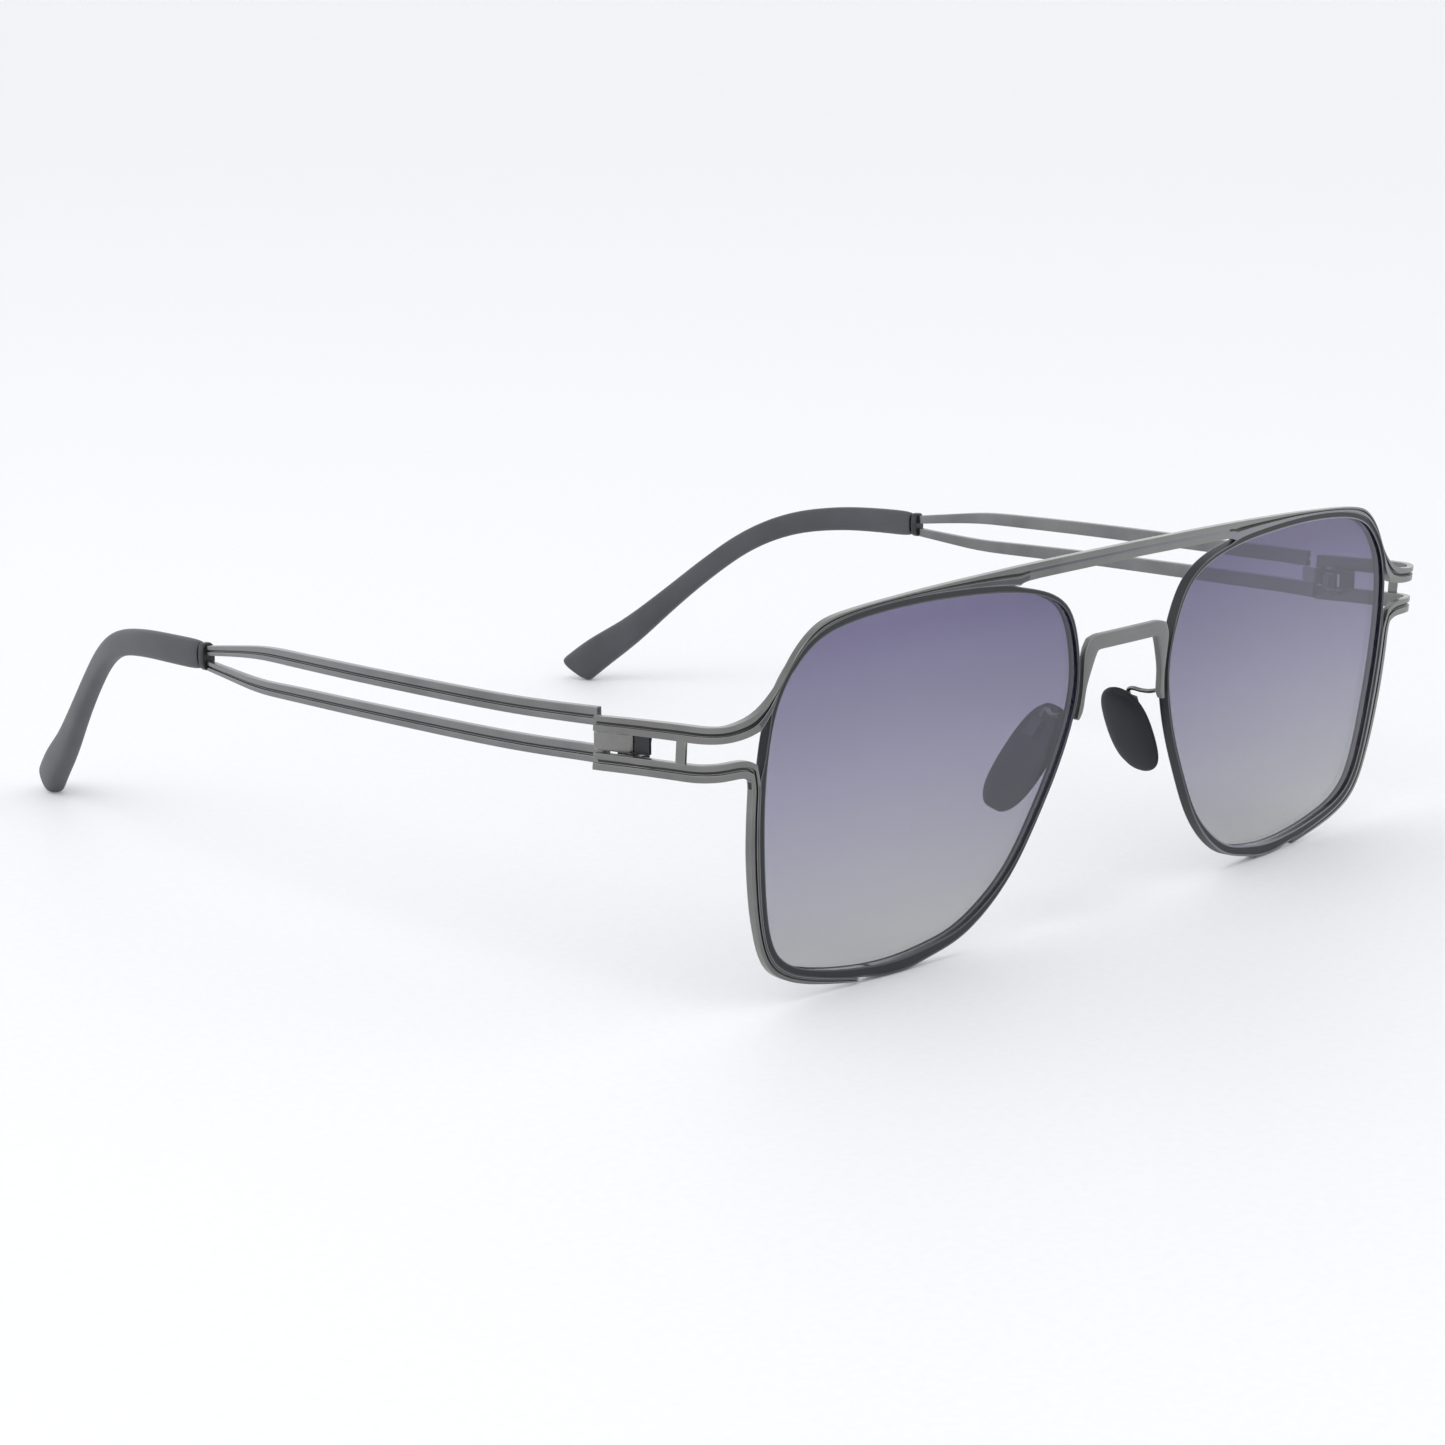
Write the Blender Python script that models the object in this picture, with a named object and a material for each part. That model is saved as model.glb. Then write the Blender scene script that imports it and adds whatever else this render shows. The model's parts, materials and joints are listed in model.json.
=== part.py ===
"""Aviator sunglasses: a flat-wire double-bridge front, two tinted lenses, nose pads on wire arms,
and split-wire temples that fold on barrel hinges and end in soft tips.

Drawn in millimetres and built in metres, +Z up. The wearer looks along -Y, so the side of +X is the
wearer's left. x = 0 is the plane of symmetry and z = 0 is the table the glasses stand on.
"""

import math

import bmesh
import bpy
from mathutils import Matrix, Vector

MM = 0.001
SIDES = {"left": 1.0, "right": -1.0}
ORIGIN_Y = 73.35        # from the bridge back to the middle of the overall depth
CLEARANCE = 0.15        # between pieces that are joined

# The front is one curved sheet, measured along its developed length s and its height z.
FRONT_SWEEP = 3.2       # how far the front sweeps back at FRONT_SPAN
FRONT_SPAN = 72.0
FRONT_LEAN = -0.085     # the top of the front leans forward
CORNER_START = 66.2     # where the end pieces start to bend back
CORNER_RADIUS = 3.3
CORNER_TURN = math.radians(86)

WIRE_DEPTH = 0.9        # thickness of the flat wire
GROOVE_DEPTH = 0.3      # of the line that runs along every flat wire
GROOVE_SHARE = 0.24     # of the wire's width
BROW_LAND = 0.34        # share of the width outside the groove
LOWER_LAND = 0.42

# Lens opening: s, z and the width of the eyewire outside that point.
RIM = (
    (9.3, 29.5, 0.5), (10.0, 35.5, 0.55), (12.7, 40.6, 0.7), (19.0, 43.2, 0.75),
    (31.0, 44.4, 0.75), (44.5, 44.2, 0.75), (53.0, 42.6, 0.65), (57.3, 39.0, 0.5),
    (59.2, 35.2, 0.5), (60.0, 30.0, 0.55), (60.0, 23.5, 0.65), (59.2, 15.6, 0.65),
    (58.1, 9.7, 0.65), (56.6, 6.4, 0.7), (54.0, 4.5, 0.75), (50.0, 3.25, 0.8),
    (44.0, 2.2, 1.1), (37.5, 1.85, 2.0), (31.5, 2.5, 1.6), (26.8, 3.6, 1.4),
    (22.5, 6.0, 1.1), (18.7, 9.3, 0.7), (15.5, 14.0, 0.55), (11.3, 22.2, 0.5),
)
RIM_STATIONS = 84
GUIDE_STATIONS = 720    # on the line that the wires around an eyewire follow
RIM_DEPTH = 1.6
RIM_GAP = 0.2           # between an eyewire and the wires around it
RIM_LIP = 0.25          # front and back lips of the eyewire channel
RIM_FLOOR = 0.3         # depth of the channel below the lips
LENS_SEAT = 0.15        # how far the lens reaches into the channel
LENS_RINGS = (1.0, 0.66, 0.33)

# Brow wire, from the back end of its prong to the middle: upper edge, then lower edge.
BROW_PRONG = (
    ((85.3, 33.95), (85.3, 32.2)), ((78.4, 34.4), (78.3, 32.55)), ((71.2, 34.75), (71.1, 32.85)),
    ((66.4, 34.7), (65.6, 32.8)), ((64.2, 34.95), (63.1, 33.0)), ((62.9, 35.25), (61.5, 33.45)),
)
BROW_OVER_RIM = (
    (61.7, 35.8), (60.2, 36.9), (58.7, 38.5), (57.1, 40.95), (55.2, 43.0), (52.6, 44.6),
    (48.0, 45.35), (41.1, 45.9), (34.7, 46.3), (28.2, 46.6), (20.8, 46.9),
)
BROW_BAR = (((20.4, 46.9), (20.4, 45.0)), ((12.0, 47.1), (12.0, 45.15)), ((0.0, 47.2), (0.0, 45.3)))
BAR_GROOVE_DEPTH = 0.08

# Lower wire, from the back end of its prong to where it dies out under the lens.
LOWER_PRONG = (
    ((85.1, 29.7), (85.1, 27.7)), ((78.1, 30.05), (78.0, 28.1)), ((70.9, 30.4), (70.8, 28.4)),
    ((66.9, 30.5), (66.7, 28.45)), ((64.3, 30.45), (64.4, 28.4)), ((62.9, 30.25), (63.3, 28.3)),
    ((61.8, 29.6), (62.5, 27.8)),
)
LOWER_BESIDE_RIM = (
    (62.3, 26.9), (62.25, 23.6), (61.93, 18.6), (61.0, 12.8), (60.15, 9.6), (59.1, 6.7),
    (57.4, 4.3), (54.35, 2.65), (51.1, 1.65), (46.2, 0.7), (43.2, 0.25),
)

# Lower bridge, from the foot of its leg to the middle: lens side, then nose side.
BRIDGE_LEG = (
    ((8.65, 26.3), (8.3, 26.2)), ((8.35, 27.8), (7.65, 27.2)), ((8.15, 29.8), (7.45, 29.9)),
    ((8.25, 32.4), (6.7, 32.4)), ((8.3, 34.6), (6.1, 34.0)), ((7.75, 35.95), (5.85, 34.45)),
    ((6.4, 36.55), (5.4, 34.6)), ((5.0, 36.55), (4.6, 34.6)), ((0.0, 36.55), (0.0, 34.6)),
)

CROSSBAR_S = (71.75, 73.1)
CROSSBAR_Z = (30.52, 32.62)
CROSSBAR_DEPTH = 0.4

# Hinge, all in plan about its upright axis.
HINGE_X = 67.9
HINGE_Y = 14.2
PIN_RADIUS = 0.55
PIN_Z = (29.23, 32.85)
BARREL_BORE = 0.64
SHEET = 0.4             # thickness of the hinge sheets
BARREL_WRAP = math.radians(290)
PLATE_Z = (29.95, 32.05)
PLATE_END = (69.95, 18.0)
EAR_X = (66.9, 68.6)
EAR_BACK = 15.6
UPPER_EAR_Z = 32.25
LOWER_EAR_Z = 29.4
LOWER_EAR_FRONT = 12.2
CLIP_FRONT = 10.65
CLIP_BACK = 12.85
CLIP_FOOT_Z = (30.2, 29.98)
BLOCK_X = (68.15, 69.0)
BLOCK_Y = (16.95, 18.95)
BLOCK_Z = (30.4, 32.3)

# Temple wires: x, y, z of the middle and the height there.
UPPER_WIRE = (
    (68.65, 18.4, 33.5, 2.1), (68.8, 19.4, 33.5, 2.1), (69.2, 21.5, 33.43, 2.05),
    (69.9, 30.0, 33.15, 2.0), (70.2, 40.0, 33.0, 1.98), (70.1, 58.0, 32.8, 1.9),
    (69.4, 72.0, 32.58, 1.8), (69.05, 77.0, 32.45, 1.68), (68.65, 82.0, 31.9, 1.42),
    (68.3, 89.15, 30.95, 1.25),
)
LOWER_WIRE = (
    (68.6, 17.1, 29.2, 2.05), (68.65, 18.4, 29.2, 2.05), (69.2, 21.5, 29.14, 2.02),
    (69.9, 30.0, 28.9, 2.02), (70.2, 40.0, 28.75, 2.0), (70.1, 58.0, 28.53, 1.9),
    (69.5, 72.0, 28.28, 1.8), (69.25, 78.0, 28.18, 1.66), (68.8, 83.0, 28.52, 1.44),
    (68.3, 89.15, 29.0, 1.2),
)
WIRE_STATIONS = 24

# Tips: x, y, z of the middle, height and thickness there, and how far the section leans off square.
TIP = (
    (68.2, 90.6, 30.1, 3.9, 2.2, 0), (67.9, 97.0, 29.97, 3.85, 2.3, 0),
    (66.8, 104.7, 29.53, 3.7, 2.3, 0), (64.6, 112.9, 28.05, 3.55, 2.35, 0),
    (62.0, 120.0, 24.8, 3.4, 2.4, 0), (59.6, 126.6, 19.8, 3.4, 2.45, 0),
    (57.4, 132.7, 14.5, 3.65, 2.65, 0), (55.2, 138.7, 9.15, 4.5, 3.0, 2),
    (53.1, 144.6, 4.75, 5.6, 3.3, 11), (51.8, 148.1, 1.8, 6.1, 3.35, 20),
)
TIP_STATIONS = 20
TIP_END = ((0.35, 0.94), (0.62, 0.8), (0.75, 0.5))    # run past the last station, and scale there
TIP_SIDES = 12
BORE_SCALE = 0.5
BORE_SHARE = 0.55       # how far the bore reaches along the tip
CORE_SCALE = 0.36
COLLAR_Y = (89.4, 90.42)
COLLAR_SCALE = 0.93

# Nose pads: middle, long axis from top to bottom, and the way their back faces.
PAD_MIDDLE = Vector((10.4, 4.5, 20.95))
PAD_LONG = Vector((0.586, 0.19, -0.787)).normalized()
PAD_OUT = Vector((0.805, -0.026, 0.593)).normalized()
PAD_LENGTH = 15.0
PAD_WIDTH = 7.4
PAD_THICKNESS = 2.2
PAD_FULLNESS = 2.8      # how square the outline is
PAD_BOX = (2.4, 1.7, 0.8)
PAD_BOX_UP = 3.4        # how far above the pad's middle its box sits
ARM_ROOT = (9.7, 26.8)
ARM_RADIUS = 0.3
ARM_SIDES = 8

MATERIALS = {
    "gunmetal": ((0.21, 0.21, 0.205), 1.0, 0.34),
    "slate": ((0.085, 0.087, 0.10), 1.0, 0.36),
    "bridge_grey": ((0.20, 0.20, 0.195), 1.0, 0.42),
    "hinge_light": ((0.30, 0.29, 0.28), 1.0, 0.30),
    "hinge_dark": ((0.05, 0.05, 0.055), 1.0, 0.35),
    "lens_tint": ((0.20, 0.18, 0.29), 0.0, 0.04),
    "tip_rubber": ((0.045, 0.046, 0.052), 0.0, 0.62),
    "collar_black": ((0.012, 0.012, 0.014), 0.0, 0.35),
    "pad_silicone": ((0.028, 0.032, 0.038), 0.0, 0.45),
    "core_steel": ((0.45, 0.45, 0.45), 1.0, 0.35),
}
LENS_ALPHA = 0.45


def material(slot):
    found = bpy.data.materials.get(slot)
    if found:
        return found
    colour, metallic, roughness = MATERIALS[slot]
    made = bpy.data.materials.new(slot)
    made.use_nodes = True
    shader = made.node_tree.nodes["Principled BSDF"]
    shader.inputs["Base Color"].default_value = (*colour, 1.0)
    shader.inputs["Metallic"].default_value = metallic
    shader.inputs["Roughness"].default_value = roughness
    if slot == "lens_tint":
        shader.inputs["Alpha"].default_value = LENS_ALPHA
    return made


def world(point):
    x, y, z = point
    return Vector((x, y - ORIGIN_Y, z)) * MM


def add_body(name, points, faces, slot, pivot=None):
    """One closed body from millimetre points, with its origin on its pivot."""
    origin = world(pivot) if pivot else Vector((0.0, 0.0, 0.0))
    mesh = bpy.data.meshes.new(name)
    mesh.from_pydata([world(p) - origin for p in points], [], faces)
    shape = bmesh.new()
    shape.from_mesh(mesh)
    bmesh.ops.recalc_face_normals(shape, faces=shape.faces)
    shape.to_mesh(mesh)
    shape.free()
    mesh.materials.append(material(slot))
    body = bpy.data.objects.new(name, mesh)
    body.location = origin
    bpy.context.scene.collection.objects.link(body)
    return body


def loft(name, rings, slot, closed=False, pivot=None):
    """Skin equal rings of points, with end caps unless the run closes on itself."""
    sides = len(rings[0])
    runs = len(rings) if closed else len(rings) - 1
    faces = []
    for i in range(runs):
        a = i * sides
        b = (i + 1) % len(rings) * sides
        for j in range(sides):
            k = (j + 1) % sides
            faces.append((a + j, a + k, b + k, b + j))
    if not closed:
        last = (len(rings) - 1) * sides
        faces.append(tuple(range(sides)))
        faces.append(tuple(range(last + sides - 1, last - 1, -1)))
    return add_body(name, [p for ring in rings for p in ring], faces, slot, pivot)


def prism(name, outline, low, high, slot, side, pivot=None):
    """Upright prism over a plan outline drawn for the side of +X."""
    rings = [[(side * x, y, z) for x, y in outline] for z in (low, high)]
    return loft(name, rings, slot, pivot=pivot)


def spline(keys, count, closed=False):
    """Even steps along a smooth curve through keys of any dimension."""
    keys = [Vector(k) for k in keys]
    total = len(keys)
    spans = total if closed else total - 1

    def key(i):
        return keys[i % total] if closed else keys[min(max(i, 0), total - 1)]

    reach = [0.0]
    for i in range(spans):
        reach.append(reach[-1] + (key(i + 1) - key(i)).length)
    slopes = []
    for i in range(spans + 1):
        before = (key(i) - key(i - 1)).length
        after = (key(i + 1) - key(i)).length
        slopes.append((key(i + 1) - key(i - 1)) / max(before + after, 1e-9))
    found = []
    steps = count if closed else count - 1
    span = 0
    for n in range(count):
        at = reach[-1] * n / steps
        while span < spans - 1 and at > reach[span + 1]:
            span += 1
        length = reach[span + 1] - reach[span]
        t = (at - reach[span]) / length
        rise = t * t * (3 - 2 * t)
        found.append(
            key(span) * (1 - rise) + key(span + 1) * rise
            + slopes[span] * length * t * (1 - t) ** 2
            - slopes[span + 1] * length * t * t * (1 - t)
        )
    return found


def sweep_back(x):
    return FRONT_SWEEP * math.sin(math.pi / 2 * x / FRONT_SPAN) ** 2


def sweep_angle(x):
    bend = math.pi / 2 * x / FRONT_SPAN
    return math.atan(FRONT_SWEEP * math.pi / FRONT_SPAN * math.sin(bend) * math.cos(bend))


def on_front(s, z, depth, side=1.0):
    """Point on the front sheet at length s and height z, depth behind its face."""
    side = side if s >= 0 else -side
    s = abs(s)
    start_angle = sweep_angle(CORNER_START)
    corner = CORNER_RADIUS * (CORNER_TURN - start_angle)
    past = s - CORNER_START
    if past <= 0:
        angle = sweep_angle(s)
        x, y = s, sweep_back(s)
    else:
        angle = start_angle + min(past, corner) / CORNER_RADIUS
        x = CORNER_START + CORNER_RADIUS * (math.sin(angle) - math.sin(start_angle))
        y = sweep_back(CORNER_START) + CORNER_RADIUS * (math.cos(start_angle) - math.cos(angle))
        x += max(past - corner, 0) * math.cos(angle)
        y += max(past - corner, 0) * math.sin(angle)
    x -= depth * math.sin(angle)
    y += depth * math.cos(angle) + FRONT_LEAN * z
    return (side * x, y, z)


def rim_curve(count):
    """Stations of the lens opening: point, outward normal and eyewire width."""
    keys = spline(RIM, count, closed=True)
    middle = sum(keys, Vector((0, 0, 0))) / len(keys)
    found = []
    for i, here in enumerate(keys):
        along = keys[(i + 1) % len(keys)] - keys[i - 1]
        normal = Vector((along.y, -along.x)).normalized()
        if normal.dot((here - middle).xy) < 0:
            normal = -normal
        found.append((here.xy, normal, here.z))
    return found


def off_rim(station, out):
    point, normal, _ = station
    moved = point + normal * out
    return moved.x, max(moved.y, 0.0)


def eyewire(name, rim, side):
    rings = []
    for station in rim:
        width = station[2]
        section = (
            (0, 0), (width, 0), (width, RIM_DEPTH), (0, RIM_DEPTH), (0, RIM_DEPTH - RIM_LIP),
            (RIM_FLOOR, RIM_DEPTH - RIM_LIP), (RIM_FLOOR, RIM_LIP), (0, RIM_LIP),
        )
        rings.append([on_front(*off_rim(station, u), v, side) for u, v in section])
    return loft(name, rings, "slate", closed=True)


def lens(name, rim, side):
    edge = [Vector(off_rim(station, LENS_SEAT)) for station in rim]
    middle = sum(edge, Vector((0, 0))) / len(edge)
    faces_at = (RIM_LIP + CLEARANCE, RIM_DEPTH - RIM_LIP - CLEARANCE)
    points = []
    faces = []
    count = len(edge)
    for depth in faces_at:
        for share in LENS_RINGS:
            points += [on_front(*middle.lerp(p, share), depth, side) for p in edge]
        points.append(on_front(*middle, depth, side))
    layer = count * len(LENS_RINGS) + 1
    for base in (0, layer):
        for ring in range(len(LENS_RINGS) - 1):
            a = base + ring * count
            b = a + count
            faces += [(a + i, a + (i + 1) % count, b + (i + 1) % count, b + i) for i in range(count)]
        inner = base + (len(LENS_RINGS) - 1) * count
        hub = base + layer - 1
        faces += [(inner + i, inner + (i + 1) % count, hub) for i in range(count)]
    faces += [(i, (i + 1) % count, layer + (i + 1) % count, layer + i) for i in range(count)]
    return add_body(name, points, faces, "lens_tint")


def rim_outside():
    """Line that the wires around an eyewire follow, just clear of its outside."""
    return [Vector(off_rim(station, station[2] + RIM_GAP)) for station in rim_curve(GUIDE_STATIONS)]


def nearest(point, line):
    return min(line, key=lambda found: (found - point).length)


def wire_ring(upper, lower, side, groove, land):
    """Grooved flat-wire section between two points of the front sheet."""
    across = lower - upper
    far = land + GROOVE_SHARE
    section = (
        (0, 0), (land, 0), (land, groove), (far, groove), (far, 0),
        (1, 0), (1, WIRE_DEPTH), (0, WIRE_DEPTH),
    )
    return [on_front(*(upper + across * t), v, side) for t, v in section]


def edge_pairs(keys, count):
    """Smooth pairs of edge points from keys that hold both edges."""
    pairs = spline([(*a, *b) for a, b in keys], count)
    return [(Vector((p[0], p[1])), Vector((p[2], p[3]))) for p in pairs]


def brow_frame(guide):
    half = edge_pairs(BROW_PRONG, 18)
    for upper in spline(BROW_OVER_RIM, 34):
        half.append((upper, nearest(upper, guide)))
    half += edge_pairs(BROW_BAR, 5)
    rings = []
    for upper, lower in half:
        groove = BAR_GROOVE_DEPTH if upper.x < BROW_OVER_RIM[-1][0] else GROOVE_DEPTH
        rings.append(wire_ring(upper, lower, 1.0, groove, BROW_LAND))
    other = [[(-x, y, z) for x, y, z in ring] for ring in rings[-2::-1]]
    return loft("brow_frame", rings + other, "gunmetal")


def lower_wire(name, guide, side):
    pairs = edge_pairs(LOWER_PRONG, 20)
    for outer in spline(LOWER_BESIDE_RIM, 26):
        pairs.append((nearest(outer, guide), outer))
    rings = [wire_ring(b, a, side, GROOVE_DEPTH, LOWER_LAND) for a, b in pairs]
    return loft(name, rings, "gunmetal")


def bridge():
    half = []
    for lens_side, nose_side in edge_pairs(BRIDGE_LEG, 18):
        section = ((lens_side, 0), (nose_side, 0), (nose_side, WIRE_DEPTH), (lens_side, WIRE_DEPTH))
        half.append([on_front(*p, v) for p, v in section])
    other = [[(-x, y, z) for x, y, z in ring] for ring in half[-2::-1]]
    return loft("bridge_lower", half + other, "bridge_grey")


def crossbar(name, side):
    low, high = CROSSBAR_Z
    rings = []
    for z in (low, high):
        corners = [(s, depth) for depth in (0, CROSSBAR_DEPTH) for s in CROSSBAR_S]
        corners[2:] = corners[:1:-1]
        rings.append([on_front(s, z, depth, side) for s, depth in corners])
    return loft(name, rings, "gunmetal")


def circle(x, y, radius, start, turn, count):
    """Points along an arc in plan."""
    found = []
    for i in range(count):
        angle = start + turn * i / (count - 1)
        found.append((x + radius * math.cos(angle), y + radius * math.sin(angle)))
    return found


def ear_outline(front):
    """Plan of a hinge ear: a plate bored for the pin, cut through to its inner edge."""
    slit = 0.1
    opening = math.asin(slit / (PIN_RADIUS + CLEARANCE))
    bore = circle(
        HINGE_X, HINGE_Y, PIN_RADIUS + CLEARANCE, math.pi - opening, 2 * opening - 2 * math.pi, 14
    )
    inner, outer = EAR_X
    return (
        [(inner, HINGE_Y + slit)] + bore
        + [(inner, HINGE_Y - slit), (inner, front), (outer, front), (outer, EAR_BACK), (inner, EAR_BACK)]
    )


def hinge_plate(name, side, pivot):
    """Sheet that runs forward between the prongs and curls round the pin."""
    radius = BARREL_BORE + SHEET
    run = Vector((HINGE_X - PLATE_END[0], HINGE_Y - PLATE_END[1]))
    lean = math.atan2(-run.x, -run.y) - math.asin(radius / run.length)
    start = -lean
    outer = circle(HINGE_X, HINGE_Y, radius, start, -BARREL_WRAP, 22)
    inner = circle(HINGE_X, HINGE_Y, BARREL_BORE, start - BARREL_WRAP, BARREL_WRAP, 22)
    back = (PLATE_END[0] - SHEET * math.cos(start), PLATE_END[1] - SHEET * math.sin(start))
    return prism(name, [PLATE_END] + outer + inner + [back], *PLATE_Z, "hinge_light", side, pivot)


def join(body, piece):
    """Melt a second body into the first."""
    piece.hide_render = True
    piece.display_type = "WIRE"
    union = body.modifiers.new("join", "BOOLEAN")
    union.operation = "UNION"
    union.solver = "EXACT"
    union.object = piece


def hinge_clip(name, side):
    """Upper ear with a slanted leaf that turns down at its outer front edge."""
    top = UPPER_EAR_Z + SHEET
    ear = prism(name, ear_outline(CLIP_FRONT), UPPER_EAR_Z, top, "hinge_dark", side)
    outer = EAR_X[1]
    inner = outer - SHEET
    root = UPPER_EAR_Z + SHEET / 2
    rings = []
    for y, foot in ((CLIP_FRONT, CLIP_FOOT_Z[0]), (CLIP_BACK, CLIP_FOOT_Z[1])):
        corners = ((outer, foot), (outer, root), (inner, root), (inner, foot))
        rings.append([(side * x, y, z) for x, z in corners])
    join(ear, loft(f"{name}_leaf", rings, "hinge_dark"))


def box(name, xs, ys, zs, slot, side, pivot=None):
    outline = [(xs[0], ys[0]), (xs[1], ys[0]), (xs[1], ys[1]), (xs[0], ys[1])]
    return prism(name, outline, *zs, slot, side, pivot)


def temple_wire(name, keys, side, pivot):
    """Upright flat wire, grooved along its outer face."""
    rings = []
    stations = spline(keys, WIRE_STATIONS)
    for i, (x, y, z, height) in enumerate(stations):
        ahead = stations[min(i + 1, WIRE_STATIONS - 1)]
        behind = stations[max(i - 1, 0)]
        along = Vector((ahead[0] - behind[0], ahead[1] - behind[1])).normalized()
        outward = Vector((along.y, -along.x))
        face = WIRE_DEPTH / 2
        section = (
            (face, 0.5), (face, 0.08), (face - GROOVE_DEPTH, 0.08), (face - GROOVE_DEPTH, -0.12),
            (face, -0.12), (face, -0.5), (-face, -0.5), (-face, 0.5),
        )
        rings.append([
            (side * (x + outward.x * u), y + outward.y * u, z + height * v) for u, v in section
        ])
    return loft(name, rings, "gunmetal", pivot=pivot)


def tip_ring(station, along, side, scale):
    """Rounded section of a tip."""
    x, y, z, height, thickness, lean = station
    across = along.cross(Vector((0, 0, 1))).normalized()
    up = Matrix.Rotation(math.radians(-lean), 3, across) @ across.cross(along).normalized()
    ring = []
    for i in range(TIP_SIDES):
        angle = 2 * math.pi * (i + 0.5) / TIP_SIDES
        u = math.copysign(abs(math.cos(angle)) ** 0.7, math.cos(angle)) * thickness / 2 * scale
        v = math.copysign(abs(math.sin(angle)) ** 0.7, math.sin(angle)) * height / 2 * scale
        p = Vector((x, y, z)) + across * u + up * v
        ring.append((side * p.x, p.y, p.z))
    return ring


def tip_run():
    """Stations along a tip with their directions."""
    stations = spline(TIP, TIP_STATIONS)
    found = []
    for i, here in enumerate(stations):
        ahead = stations[min(i + 1, TIP_STATIONS - 1)]
        behind = stations[max(i - 1, 0)]
        along = Vector(ahead[:3]) - Vector(behind[:3])
        found.append((here, along.normalized()))
    return found


def tip(name, side, pivot):
    """Soft sleeve, bored from its front for the metal core."""
    run = tip_run()
    bored = int(TIP_STATIONS * BORE_SHARE)
    rings = [tip_ring(p, along, side, BORE_SCALE) for p, along in run[bored::-1]]
    rings += [tip_ring(p, along, side, 1.0) for p, along in run]
    last, along = run[-1]
    down = Matrix.Rotation(math.radians(-last[5]), 3, along.cross(Vector((0, 0, 1))).normalized())
    for past, scale in TIP_END:
        moved = Vector(last[:3]) + down @ along * past
        rings.append(tip_ring((*moved, *last[3:]), along, side, scale))
    return loft(name, rings, "tip_rubber", pivot=pivot)


def tip_core(name, side, pivot):
    run = tip_run()[:int(TIP_STATIONS * BORE_SHARE)]
    rings = [tip_ring(p, along, side, CORE_SCALE) for p, along in run]
    return loft(name, rings, "core_steel", pivot=pivot)


def collar(name, side, pivot):
    front, along = tip_run()[0]
    rings = []
    for y in COLLAR_Y:
        moved = Vector(front[:3]) + along * (y - front[1])
        rings.append(tip_ring((*moved, *front[3:]), along, side, COLLAR_SCALE))
    return loft(name, rings, "collar_black", pivot=pivot)


def nose_pad(name, side, pivot):
    """Soft pad with a rounded outline and crowned faces."""
    wide = PAD_OUT.cross(PAD_LONG)
    rings = []
    stations = 11
    for i in range(stations):
        t = math.sin(math.pi * (i / (stations - 1) - 0.5)) * 0.985
        fullness = (1 - abs(t) ** PAD_FULLNESS) ** (1 / PAD_FULLNESS)
        ring = []
        for j in range(16):
            angle = 2 * math.pi * j / 16
            u = math.copysign(abs(math.cos(angle)) ** 0.75, math.cos(angle)) * PAD_WIDTH / 2
            v = math.sin(angle) * PAD_THICKNESS / 2
            p = PAD_MIDDLE + PAD_LONG * (t * PAD_LENGTH / 2)
            p = p + wide * (u * fullness) + PAD_OUT * (v * fullness ** 0.6)
            ring.append((side * p.x, p.y, p.z))
        rings.append(ring)
    return loft(name, rings, "pad_silicone", pivot=pivot)


def pad_box_middle():
    lift = PAD_THICKNESS / 2 + CLEARANCE + PAD_BOX[2] / 2
    return PAD_MIDDLE - PAD_LONG * PAD_BOX_UP + PAD_OUT * lift


def pad_box(name, side, pivot):
    """Seat on the back of a pad that the arm holds."""
    wide = PAD_OUT.cross(PAD_LONG)
    length, width, height = (size / 2 for size in PAD_BOX)
    rings = []
    for end in (-length, length):
        ring = []
        for u, v in ((-width, -height), (width, -height), (width, height), (-width, height)):
            p = pad_box_middle() + PAD_LONG * end + wide * u + PAD_OUT * v
            ring.append((side * p.x, p.y, p.z))
        rings.append(ring)
    return loft(name, rings, "hinge_dark", pivot=pivot)


def pad_arm(name, side):
    """Round wire from the back of the eyewire, up and over the top of the pad."""
    root = Vector(on_front(*ARM_ROOT, RIM_DEPTH + CLEARANCE + ARM_RADIUS))
    end = pad_box_middle() - PAD_LONG * (PAD_BOX[0] / 2 + 0.4)
    keys = (
        root, root + Vector((-0.15, 1.0, -0.25)), root + Vector((-0.6, 2.0, -0.2)),
        end + Vector((-0.4, -0.75, 1.0)), end + Vector((-0.5, -0.2, 0.75)), end,
    )
    stations = spline(keys, 16)
    rings = []
    for i, here in enumerate(stations):
        along = (stations[min(i + 1, 15)] - stations[max(i - 1, 0)]).normalized()
        across = along.cross(Vector((1, 0, 0))).normalized()
        up = across.cross(along)
        ring = []
        for j in range(ARM_SIDES):
            angle = 2 * math.pi * j / ARM_SIDES
            p = here + (across * math.cos(angle) + up * math.sin(angle)) * ARM_RADIUS
            ring.append((side * p.x, p.y, p.z))
        rings.append(ring)
    return loft(name, rings, "gunmetal")


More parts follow.
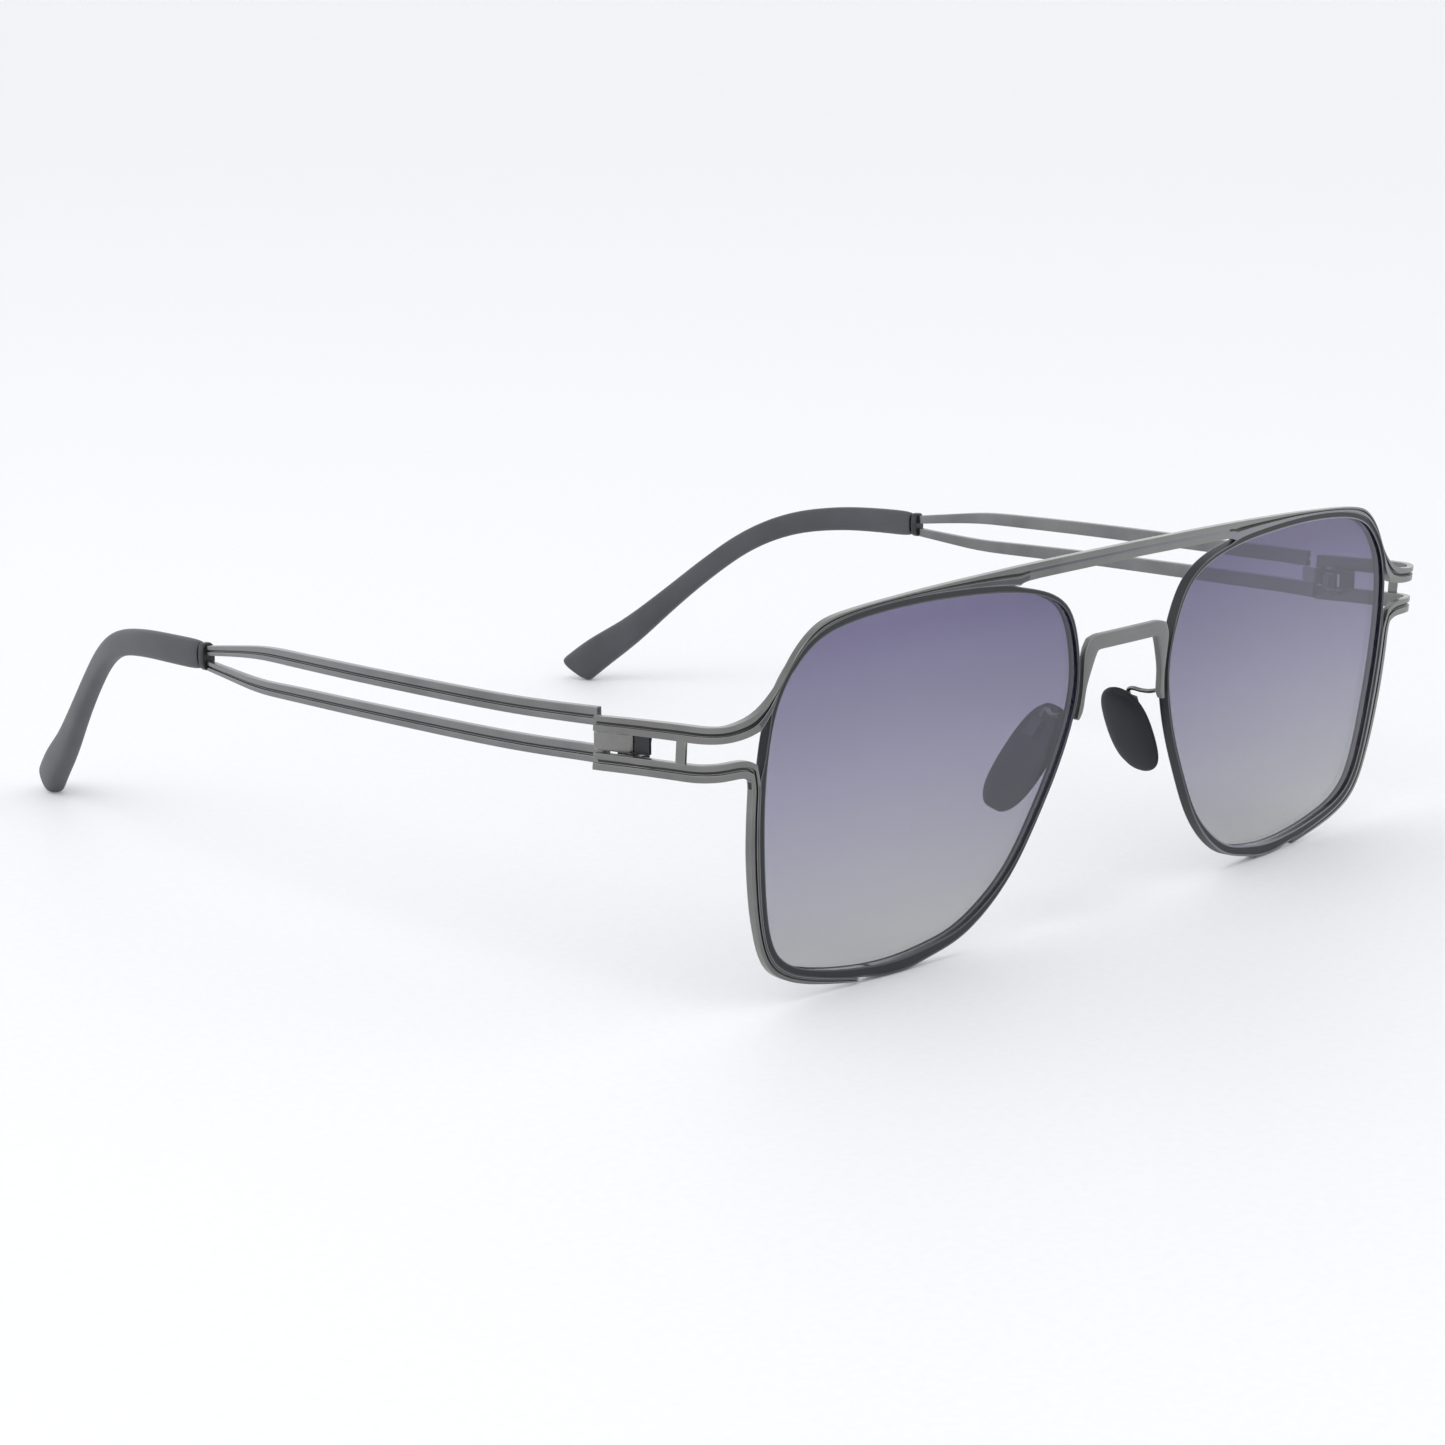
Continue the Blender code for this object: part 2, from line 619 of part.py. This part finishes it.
def build():
    for old in list(bpy.data.objects):
        bpy.data.objects.remove(old, do_unlink=True)
    rim = rim_curve(RIM_STATIONS)
    guide = rim_outside()
    brow_frame(guide)
    bridge()
    for label, side in SIDES.items():
        eyewire(f"eyewire_{label}", rim, side)
        lens(f"lens_{label}", rim, side)
        lower_wire(f"lower_wire_{label}", guide, side)
        crossbar(f"crossbar_{label}", side)
        pad_arm(f"pad_arm_{label}", side)

        hinge = (side * HINGE_X, HINGE_Y, sum(PIN_Z) / 2)
        pin = circle(HINGE_X, HINGE_Y, PIN_RADIUS, 0, 2 * math.pi, 15)[:-1]
        prism(f"hinge_pin_{label}", pin, *PIN_Z, "core_steel", side)
        hinge_clip(f"hinge_clip_{label}", side)
        ear = ear_outline(LOWER_EAR_FRONT)
        prism(f"hinge_ear_{label}", ear, LOWER_EAR_Z, LOWER_EAR_Z + SHEET, "hinge_dark", side)

        hinge_plate(f"hinge_plate_{label}", side, hinge)
        box(f"hinge_block_{label}", BLOCK_X, BLOCK_Y, BLOCK_Z, "gunmetal", side, hinge)
        temple_wire(f"temple_upper_{label}", UPPER_WIRE, side, hinge)
        temple_wire(f"temple_lower_{label}", LOWER_WIRE, side, hinge)
        collar(f"collar_{label}", side, hinge)
        tip(f"tip_{label}", side, hinge)
        tip_core(f"tip_core_{label}", side, hinge)

        seat = pad_box_middle()
        pivot = (side * seat.x, seat.y, seat.z)
        nose_pad(f"nose_pad_{label}", side, pivot)
        pad_box(f"pad_box_{label}", side, pivot)


build()
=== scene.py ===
"""Aviator sunglasses on a pale floor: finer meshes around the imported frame, metal, rubber, silicone
and gradient-lens materials, soft studio light and a camera at the wearer's right front corner."""

import json
import math

import bmesh
import bpy
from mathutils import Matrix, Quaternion, Vector
from mathutils.bvhtree import BVHTree


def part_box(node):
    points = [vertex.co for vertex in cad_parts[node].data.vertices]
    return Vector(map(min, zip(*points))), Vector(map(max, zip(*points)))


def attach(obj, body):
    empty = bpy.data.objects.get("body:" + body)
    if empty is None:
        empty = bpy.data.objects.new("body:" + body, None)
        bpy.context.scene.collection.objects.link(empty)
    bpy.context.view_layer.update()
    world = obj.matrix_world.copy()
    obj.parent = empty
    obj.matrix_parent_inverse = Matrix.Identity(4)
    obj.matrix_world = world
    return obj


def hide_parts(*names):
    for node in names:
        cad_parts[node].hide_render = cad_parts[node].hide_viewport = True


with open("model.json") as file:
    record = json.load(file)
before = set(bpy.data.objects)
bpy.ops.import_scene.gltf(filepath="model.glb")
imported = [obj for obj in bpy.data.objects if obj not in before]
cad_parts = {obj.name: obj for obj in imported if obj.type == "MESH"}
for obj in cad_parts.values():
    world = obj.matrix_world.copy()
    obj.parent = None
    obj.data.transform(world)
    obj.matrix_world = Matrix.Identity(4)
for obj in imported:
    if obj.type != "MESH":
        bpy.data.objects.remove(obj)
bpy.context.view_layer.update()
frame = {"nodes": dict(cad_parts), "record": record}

MM = 0.001

# Camera: places in metres, angles in degrees.
AZIMUTH = -46.0
ELEVATION = 12.78
DISTANCE = 0.4753
AIM = Vector((0.0, -0.00777, 0.01405))
LENS_MM = 87.2
SENSOR_MM = 36.0
ROLL = -0.16
CLIP_START = 0.01

# How the CAD meshes are refined: bevel width in millimetres and rounds of subdivision.
REFINED = {
    "brow_frame": (0.05, 1), "bridge_lower": (0.09, 1), "eyewire": (0.05, 1), "lower_wire": (0.05, 1),
    "crossbar": (0.05, 1), "pad_arm": (0.0, 2), "hinge_plate": (0.05, 1), "hinge_clip": (0.05, 1),
    "temple_upper": (0.06, 1), "temple_lower": (0.06, 1), "collar": (0.2, 1), "tip": (0.0, 2),
    "nose_pad": (0.0, 2),
}
EDGE = math.radians(32)         # a bend sharper than this counts as an edge
FLAT = math.radians(25)         # triangles that bend less than this make one quad
ANY_SHAPE = math.radians(180)   # whatever the shape of that quad
WELD = 0.002 * MM               # points this close are one point

# Details that the refined pieces add; sizes are in metres.
GROOVED = ("brow_frame", "lower_wire", "temple_upper", "temple_lower")
SOLDERED = ("brow_frame", "lower_wire_left", "lower_wire_right")
BLACK, GREY = 1, 2              # places of a piece's second and third material
BAR_REACH = 0.0206              # half of the plain bar over the bridge
CORNER_X = 0.0615               # where the wires leave the rim for the prongs
WALL_DEPTH = 0.0012             # the outer wall of an eyewire is deeper than this
WALL_STRAIGHT = 0.9             # and runs back at least this straight
WALL_SINK = 0.00006             # depth of the line round that wall; its black is painted shade
WALL_INSET = 0.00002            # width of the slope down to it
SEAM_REACH = 0.00055            # an eyewire is soldered to a wire that runs this close to it
SEAM_BITE = 0.0001              # how far the solder reaches into the wire, and how far it lies back
SEAM_NEAREST = 0.000001         # a gap smaller than this counts as this
BAR_STRETCH = 1.28              # a crossbar runs on into the two wires it ties

# Metal: how it is brushed and clouded, with a painted highlight on its edges and a painted sheen where it is
# seen aslant.
BRUSH_SCALE = 5200.0
BRUSH_DEPTH = 0.00001
BRUSH_RELIEF = 0.12
BRUSH_SATIN = (-0.07, 0.09)     # added to the roughness
CLOUD_SCALE = 160.0
CLOUDING = 0.12                 # darker and lighter by this share
HIGHLIGHT_EDGE = (0.52, 0.6)         # pointiness where the painted edge highlight starts and where it is full
# how much lighter the painted edge highlight makes the colour
HIGHLIGHT_GAIN = 1.9
ASLANT = (0.36, 0.5)            # where the painted sheen starts and where it is full
ALONG_X = (0.05, 1.0, 1.0)
ALONG_Y = (1.0, 0.04, 1.0)
ALONG_Z = (1.0, 1.0, 0.08)

# Rubber and silicone.
SKIN_DEPTH = 0.00003
SKIN_MATT = (-0.08, 0.1)        # added to the roughness
BLOOM_SCALE = 120.0
BLOOM = (0.85, 1.2)             # the darker and the lighter share of the colour

# Lens: what it lets through from its lower edge up, and how that changes where it is seen aslant.
LENS_FADE = (
    (0.0, (0.74, 0.745, 0.73)), (0.16, (0.683, 0.687, 0.7)), (0.34, (0.633, 0.633, 0.674)),
    (0.52, (0.578, 0.571, 0.647)), (0.71, (0.504, 0.494, 0.586)), (0.85, (0.456, 0.438, 0.557)),
    (0.95, (0.4, 0.375, 0.505)),
)
LENS_TURN = (0.29, 0.4)         # where the light's way through the tint starts to grow, and stops
LENS_SLANT = 1.3                # how much longer that way gets
LENS_MIRROR = (0.07, 0.95)      # share mirrored, seen straight on and edge on
LENS_STEEP = 4.0                # how late that share rises
LENS_POLISH = 0.02
LENS_COATING = (0.95, 0.95, 1.0, 1.0)

# Studio: a wide floor, walls that dim towards the ceiling, and one large lamp.
FLOOR_REACH = 15.0
PAPER_FIBRE = 900.0
PAPER = (0.9, 0.905, 0.915)
PAPER_DARK = (0.885, 0.89, 0.9)
PAPER_LIGHT = (0.91, 0.915, 0.925)
SKY = (
    (0.0, (1.0, 1.0, 1.0)), (0.3, (0.9, 0.905, 0.92)), (0.6, (0.58, 0.585, 0.6)), (1.0, (0.5, 0.505, 0.52)),
)
SKY_STRENGTH = 1.5
LAMP_PLACE = Vector((-0.7, -0.1, 1.0))
LAMP_SIZE = 0.8
LAMP_POWER = 3.0


def new_material(name, colour, metallic, roughness):
    """A node material and its shader."""
    made = bpy.data.materials.new(name)
    made.use_nodes = True
    shader = made.node_tree.nodes["Principled BSDF"]
    shader.inputs["Base Color"].default_value = (*colour, 1.0)
    shader.inputs["Metallic"].default_value = metallic
    shader.inputs["Roughness"].default_value = roughness
    return made, shader


def add(tree, kind, **values):
    """A new node with its inputs or settings filled in."""
    node = tree.nodes.new(kind)
    for key, value in values.items():
        if key in node.inputs:
            node.inputs[key].default_value = value
        else:
            setattr(node, key, value)
    return node


def grain(tree, scale, detail, stretch=(1.0, 1.0, 1.0), rough=0.55):
    """Noise over the object's own coordinates, stretched along the way the metal was brushed."""
    place = tree.nodes.new("ShaderNodeTexCoord")
    spread = add(tree, "ShaderNodeMapping", Scale=stretch)
    noise = add(tree, "ShaderNodeTexNoise", Scale=scale, Detail=detail, Roughness=rough)
    tree.links.new(place.outputs["Object"], spread.inputs["Vector"])
    tree.links.new(spread.outputs["Vector"], noise.inputs["Vector"])
    return noise.outputs["Fac"]


def height(tree, coordinates):
    """How high a point is: in "Object" coordinates on a piece, in "Generated" ones in the sky."""
    place = tree.nodes.new("ShaderNodeTexCoord")
    split = tree.nodes.new("ShaderNodeSeparateXYZ")
    tree.links.new(place.outputs[coordinates], split.inputs["Vector"])
    return split.outputs["Z"]


def ramp(tree, source, stops):
    """Colours along a value."""
    made = tree.nodes.new("ShaderNodeValToRGB")
    line = made.color_ramp
    while len(line.elements) < len(stops):
        line.elements.new(0.5)
    for element, (at, colour) in zip(line.elements, stops):
        element.position = at
        element.color = (*colour, 1.0)
    tree.links.new(source, made.inputs["Fac"])
    return made.outputs["Color"]


def two_tone(tree, source, dark, light):
    """Two tones that meet in the middle of a noise."""
    return ramp(tree, source, ((0.3, dark), (0.7, light)))


def remap(tree, source, before=(0.0, 1.0), after=(0.0, 1.0)):
    """A value carried over from one range to another."""
    made = add(tree, "ShaderNodeMapRange", **{
        "From Min": before[0], "From Max": before[1], "To Min": after[0], "To Max": after[1],
    })
    tree.links.new(source, made.inputs["Value"])
    return made.outputs["Result"]


def bump(tree, shader, source, strength, distance):
    """Relief from a value."""
    made = add(tree, "ShaderNodeBump", Strength=strength, Distance=distance)
    tree.links.new(source, made.inputs["Height"])
    tree.links.new(made.outputs["Normal"], shader.inputs["Normal"])


def tint(colour, share):
    """A colour made darker or lighter."""
    return tuple(min(c * share, 1.0) for c in colour)


def metal(name, colour, roughness, stretch, sheen=1.3):
    """Satin plated metal: brushed grain, faint clouds, a painted highlight on its sharp edges, and a painted
    sheen that lightens it where it is seen aslant.
    """
    made, shader = new_material(name, colour, 1.0, roughness)
    tree = made.node_tree
    lines = grain(tree, BRUSH_SCALE, 3.0, stretch)
    clouds = grain(tree, CLOUD_SCALE, 2.0)
    body = two_tone(tree, clouds, tint(colour, 1 - CLOUDING), tint(colour, 1 + CLOUDING))
    edge = tree.nodes.new("ShaderNodeNewGeometry")
    start, full = HIGHLIGHT_EDGE
    # Painted highlight: the colour is made lighter on sharp, pointy edges.
    edge_highlight = ramp(tree, edge.outputs["Pointiness"], ((start, (0, 0, 0)), (full, (1, 1, 1))))
    slant = tree.nodes.new("ShaderNodeLayerWeight")
    # Painted sheen: the colour is made lighter where the surface is seen aslant, by the sheen gain; the
    # painted edge highlight goes on top.
    for share, gain in ((remap(tree, slant.outputs["Facing"], ASLANT), sheen), (edge_highlight, HIGHLIGHT_GAIN)):
        mix = add(tree, "ShaderNodeMix", data_type="RGBA")
        tree.links.new(share, mix.inputs["Factor"])
        tree.links.new(body, mix.inputs["A"])
        mix.inputs["B"].default_value = (*tint(colour, gain), 1.0)
        body = mix.outputs["Result"]
    tree.links.new(body, shader.inputs["Base Color"])
    satin = remap(tree, lines, after=[roughness + more for more in BRUSH_SATIN])
    tree.links.new(satin, shader.inputs["Roughness"])
    bump(tree, shader, lines, BRUSH_RELIEF, BRUSH_DEPTH)
    return made


def soft(name, colour, roughness, pores, strength, sheen=0.0, shine=0.5):
    """Moulded rubber or silicone with a fine skin."""
    made, shader = new_material(name, colour, 0.0, roughness)
    tree = made.node_tree
    skin = grain(tree, pores, 5.0, rough=0.65)
    clouds = grain(tree, BLOOM_SCALE, 3.0)
    body = two_tone(tree, clouds, *[tint(colour, share) for share in BLOOM])
    tree.links.new(body, shader.inputs["Base Color"])
    matt = remap(tree, skin, after=[roughness + more for more in SKIN_MATT])
    tree.links.new(matt, shader.inputs["Roughness"])
    shader.inputs["Sheen Weight"].default_value = sheen
    shader.inputs["Specular IOR Level"].default_value = shine
    bump(tree, shader, skin, strength, SKIN_DEPTH)
    return made


def gradient_lens(name, low, high):
    """Tinted lens: violet at the top, fading to neutral grey at the bottom. Light crosses two surfaces."""
    made = bpy.data.materials.new(name)
    made.use_nodes = True
    tree = made.node_tree
    tree.nodes.remove(tree.nodes["Principled BSDF"])
    shade = ramp(tree, remap(tree, height(tree, "Object"), (low, high)), LENS_FADE)
    slant = tree.nodes.new("ShaderNodeLayerWeight")
    deeper = tree.nodes.new("ShaderNodeGamma")
    tree.links.new(shade, deeper.inputs["Color"])
    longer = remap(tree, slant.outputs["Facing"], LENS_TURN, (1.0, LENS_SLANT))
    tree.links.new(longer, deeper.inputs["Gamma"])
    see = tree.nodes.new("ShaderNodeBsdfTransparent")
    tree.links.new(deeper.outputs["Color"], see.inputs["Color"])
    gloss = add(tree, "ShaderNodeBsdfGlossy", Color=LENS_COATING, Roughness=LENS_POLISH)
    steep = add(tree, "ShaderNodeMath", operation="POWER")
    tree.links.new(slant.outputs["Facing"], steep.inputs[0])
    steep.inputs[1].default_value = LENS_STEEP
    mix = tree.nodes.new("ShaderNodeMixShader")
    tree.links.new(remap(tree, steep.outputs["Value"], after=LENS_MIRROR), mix.inputs["Fac"])
    tree.links.new(see.outputs["BSDF"], mix.inputs[1])
    tree.links.new(gloss.outputs["BSDF"], mix.inputs[2])
    tree.links.new(mix.outputs["Shader"], tree.nodes["Material Output"].inputs["Surface"])
    return made


def make_materials():
    """Every material by name: one for each slot of the record, and the extra ones of the refined pieces."""
    low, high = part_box("lens_left")
    return {
        "gunmetal": metal("gunmetal", (0.19, 0.19, 0.184), 0.3, ALONG_X),
        "gunmetal_temple": metal("gunmetal_temple", (0.195, 0.196, 0.196), 0.34, ALONG_Y),
        # The eyewire metal gets a strong painted sheen: much lighter where it is seen aslant.
        "slate": metal("slate", (0.105, 0.108, 0.122), 0.34, ALONG_Z, sheen=2.4),
        # The eyewire's metal made lighter for the back of its outer wall: painted light.
        "wall_grey": metal("wall_grey", (0.2, 0.2, 0.205), 0.3, ALONG_Z),
        # Near-black for the grooves of the wires and the sunk line in the eyewire walls: painted shade.
        "painted_shade_black": soft("painted_shade_black", (0.006, 0.007, 0.009), 0.45, 9000.0, 0.1),
        "bridge_grey": metal("bridge_grey", (0.19, 0.19, 0.188), 0.44, ALONG_X),
        "hinge_light": metal("hinge_light", (0.21, 0.205, 0.2), 0.26, (1.0, 1.0, 0.05)),
        # The clip is the same metal as the plate; its much darker colour is painted shade for where it sits
        # inboard between the prongs.
        "hinge_dark": metal("hinge_dark", (0.05, 0.05, 0.055), 0.35, ALONG_Y),
        "lens_tint": gradient_lens("lens_tint", low.z, high.z),
        "tip_rubber": soft("tip_rubber", (0.05, 0.052, 0.06), 0.6, 9000.0, 0.35, sheen=0.1),
        "collar_black": soft("collar_black", (0.012, 0.012, 0.014), 0.32, 7000.0, 0.1),
        "pad_silicone": soft("pad_silicone", (0.009, 0.011, 0.015), 0.55, 7000.0, 0.2, shine=0.25),
        "core_steel": metal("core_steel", (0.45, 0.45, 0.45), 0.35, ALONG_Y),
    }


def surfaces_of(node, slot, looks):
    """The materials of a piece: its main one, then those in its BLACK and GREY places."""
    if node.startswith("temple_"):
        return [looks["gunmetal_temple"], looks["painted_shade_black"]]
    if node.startswith(("brow_frame", "lower_wire")):
        return [looks[slot], looks["painted_shade_black"], looks["slate"]]
    if node.startswith("eyewire"):
        return [looks[slot], looks["painted_shade_black"], looks["wall_grey"]]
    return [looks[slot]]


def copy_of(node):
    """The mesh of a CAD node, with its triangles joined at their shared points."""
    shape = bmesh.new()
    shape.from_mesh(frame["nodes"][node].data)
    bmesh.ops.remove_doubles(shape, verts=shape.verts, dist=WELD)
    return shape


def stand_in(shape, node, surfaces, body):
    """A smooth piece that shows in place of a CAD node and rides on its body."""
    mesh = bpy.data.meshes.new(f"{node}_fine")
    shape.to_mesh(mesh)
    shape.free()
    for surface in surfaces:
        mesh.materials.append(surface)
    mesh.polygons.foreach_set("use_smooth", [True] * len(mesh.polygons))
    piece = bpy.data.objects.new(f"{node}_fine", mesh)
    bpy.context.scene.collection.objects.link(piece)
    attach(piece, body)
    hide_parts(node)
    return piece


def line_wall(shape):
    """Sink a line into the outer wall of an eyewire and paint it black as painted shade; behind it the wall
    gets a lighter grey metal, painted light, and in front it stays in its own material.
    """
    across = []
    for edge in shape.edges:
        front, back = edge.verts
        length = edge.calc_length()
        if length > WALL_DEPTH and abs(back.co.y - front.co.y) > WALL_STRAIGHT * length:
            across.append(edge)
    old = set(shape.verts)
    bmesh.ops.subdivide_edges(shape, edges=across, cuts=2, use_grid_fill=True)
    middle = [f for f in shape.faces if not old.intersection(f.verts)]
    for face in middle:
        face.material_index = BLACK
    for face in middle:
        for edge in face.edges:
            for other in edge.link_faces:
                if other.material_index == 0 and other.calc_center_median().y > face.calc_center_median().y:
                    other.material_index = GREY
    bmesh.ops.inset_region(
        shape, faces=middle, thickness=WALL_INSET, depth=-WALL_SINK, use_even_offset=True,
    )


def outline_of(node):
    """Corners and faces of a CAD node."""
    mesh = frame["nodes"][node].data
    return [v.co.copy() for v in mesh.vertices], [tuple(p.vertices) for p in mesh.polygons]


def solder_seam(shape):
    """Spread the outer edge of an eyewire until it meets the wires beside it."""
    wires = [BVHTree.FromPolygons(*outline_of(node)) for node in SOLDERED]
    for vert in shape.verts:
        found = [wire.find_nearest(vert.co, SEAM_REACH) for wire in wires]
        found = [hit for hit in found if hit[0]]
        if not found:
            continue
        spot, _, _, gap = min(found, key=lambda hit: hit[3])
        vert.co += (spot - vert.co) * (1 + SEAM_BITE / max(gap, SEAM_NEAREST))
        vert.co.y += SEAM_BITE


def stretch_bar(shape):
    """Lengthen a crossbar about its middle until it meets the wires above and below."""
    middle = sum((v.co for v in shape.verts), Vector()) / len(shape.verts)
    for vert in shape.verts:
        vert.co.z = middle.z + (vert.co.z - middle.z) * BAR_STRETCH


def blacken_groove(shape, node, centre):
    """Paint the groove of a flat wire black, a painted shade; over the bridge the shallow groove is slate
    instead, a milder painted shade, and the land beside the lens is slate too.
    """
    groove = set()
    for edge in shape.edges:
        if len(edge.link_faces) == 2 and not edge.is_convex and edge.calc_face_angle(0) > EDGE:
            groove.update(edge.link_faces)
    for face in groove:
        face.material_index = BLACK
    if node.startswith("temple_"):
        return
    # Over the bridge the shallow groove gets slate: a milder painted shade.
    if node == "brow_frame":
        plain = {f for f in groove if abs(f.calc_center_median().x) < BAR_REACH}
        groove -= plain
        for face in plain:
            face.material_index = GREY
    for face in groove:
        here = face.calc_center_median()
        eye = Vector((math.copysign(centre.x, here.x), centre.y, centre.z))
        for edge in face.edges:
            for land in edge.link_faces:
                middle = land.calc_center_median()
                nearer = (middle - eye).length < (here - eye).length
                if land not in groove and abs(middle.x) < CORNER_X and nearer:
                    land.material_index = GREY


def refine(node, width, rounds, surfaces, body, centre):
    """A finer copy of a CAD node: whole quads, rounded edges and smooth curves."""
    shape = copy_of(node)
    bmesh.ops.join_triangles(
        shape, faces=shape.faces, angle_face_threshold=FLAT, angle_shape_threshold=ANY_SHAPE,
    )
    if node.startswith("eyewire"):
        line_wall(shape)
        solder_seam(shape)
    if node.startswith("crossbar"):
        stretch_bar(shape)
    if node.startswith(GROOVED):
        blacken_groove(shape, node, centre)
    if width:
        sharp = [e for e in shape.edges if len(e.link_faces) == 2 and e.calc_face_angle(0) > EDGE]
        bmesh.ops.bevel(
            shape, geom=sharp, offset=width * MM, segments=2, profile=0.5, affect="EDGES",
            clamp_overlap=True,
        )
    piece = stand_in(shape, node, surfaces, body)
    smooth = piece.modifiers.new("smooth", "SUBSURF")
    smooth.levels = rounds
    smooth.render_levels = rounds
    return piece


def polished_lens(node, surface, body):
    """A copy of a lens, smooth over its faces and crisp round its edge."""
    shape = copy_of(node)
    for edge in shape.edges:
        edge.smooth = edge.calc_face_angle(0) < EDGE
    return stand_in(shape, node, [surface], body)


def dress_frame(looks):
    """Refine every piece that shows and give each hidden one its material."""
    slots = {row["node"]: row["material_slot"] for row in frame["record"]["subparts"]}
    groups = frame["record"]["behaviour"]["bodies"]
    bodies = {node: body for body, nodes in groups.items() for node in nodes}
    low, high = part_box("lens_left")
    centre = (low + high) / 2
    for node, thing in frame["nodes"].items():
        slot = slots[node]
        kind = node.removesuffix("_left").removesuffix("_right")
        if kind == "lens":
            polished_lens(node, looks[slot], bodies[node])
        elif kind in REFINED:
            surfaces = surfaces_of(node, slot, looks)
            refine(node, *REFINED[kind], surfaces, bodies[node], centre)
        else:
            thing.data.materials.clear()
            thing.data.materials.append(looks[slot])


def pale_floor():
    """Pale seamless floor, wide enough to fill the view."""
    mesh = bpy.data.meshes.new("floor")
    reach = FLOOR_REACH
    corners = [(-reach, -reach, 0.0), (reach, -reach, 0.0), (reach, reach, 0.0), (-reach, reach, 0.0)]
    mesh.from_pydata(corners, [], [(0, 1, 2, 3)])
    made, shader = new_material("paper", PAPER, 0.0, 0.6)
    tree = made.node_tree
    tone = two_tone(tree, grain(tree, PAPER_FIBRE, 5.0), PAPER_DARK, PAPER_LIGHT)
    tree.links.new(tone, shader.inputs["Base Color"])
    mesh.materials.append(made)
    floor = bpy.data.objects.new("floor", mesh)
    bpy.context.scene.collection.objects.link(floor)


def light_studio():
    """Bright walls all round, a softer ceiling, and a large lamp above the wearer's right."""
    world = bpy.data.worlds.new("studio")
    world.use_nodes = True
    tree = world.node_tree
    background = tree.nodes["Background"]
    tree.links.new(ramp(tree, height(tree, "Generated"), SKY), background.inputs["Color"])
    background.inputs["Strength"].default_value = SKY_STRENGTH
    bpy.context.scene.world = world
    data = bpy.data.lights.new("key", "AREA")
    data.size = LAMP_SIZE
    data.energy = LAMP_POWER
    lamp = bpy.data.objects.new("key", data)
    lamp.location = LAMP_PLACE
    lamp.rotation_euler = (-LAMP_PLACE).to_track_quat("-Z", "Y").to_euler()
    bpy.context.scene.collection.objects.link(lamp)


def set_camera():
    """A camera that looks at AIM from the wearer's right front, rolled a little."""
    azimuth, elevation = math.radians(AZIMUTH), math.radians(ELEVATION)
    level = math.cos(elevation)
    toward = Vector((math.sin(azimuth) * level, -math.cos(azimuth) * level, math.sin(elevation)))
    data = bpy.data.cameras.new("camera")
    data.lens = LENS_MM
    data.sensor_width = SENSOR_MM
    data.clip_start = CLIP_START
    camera = bpy.data.objects.new("camera", data)
    camera.location = AIM + toward * DISTANCE
    upright = toward.to_track_quat("Z", "Y")
    camera.rotation_euler = (upright @ Quaternion((0, 0, 1), math.radians(ROLL))).to_euler()
    bpy.context.scene.collection.objects.link(camera)
    bpy.context.scene.camera = camera


dress_frame(make_materials())
pale_floor()
light_studio()
set_camera()
bpy.context.scene.view_settings.view_transform = "Standard"
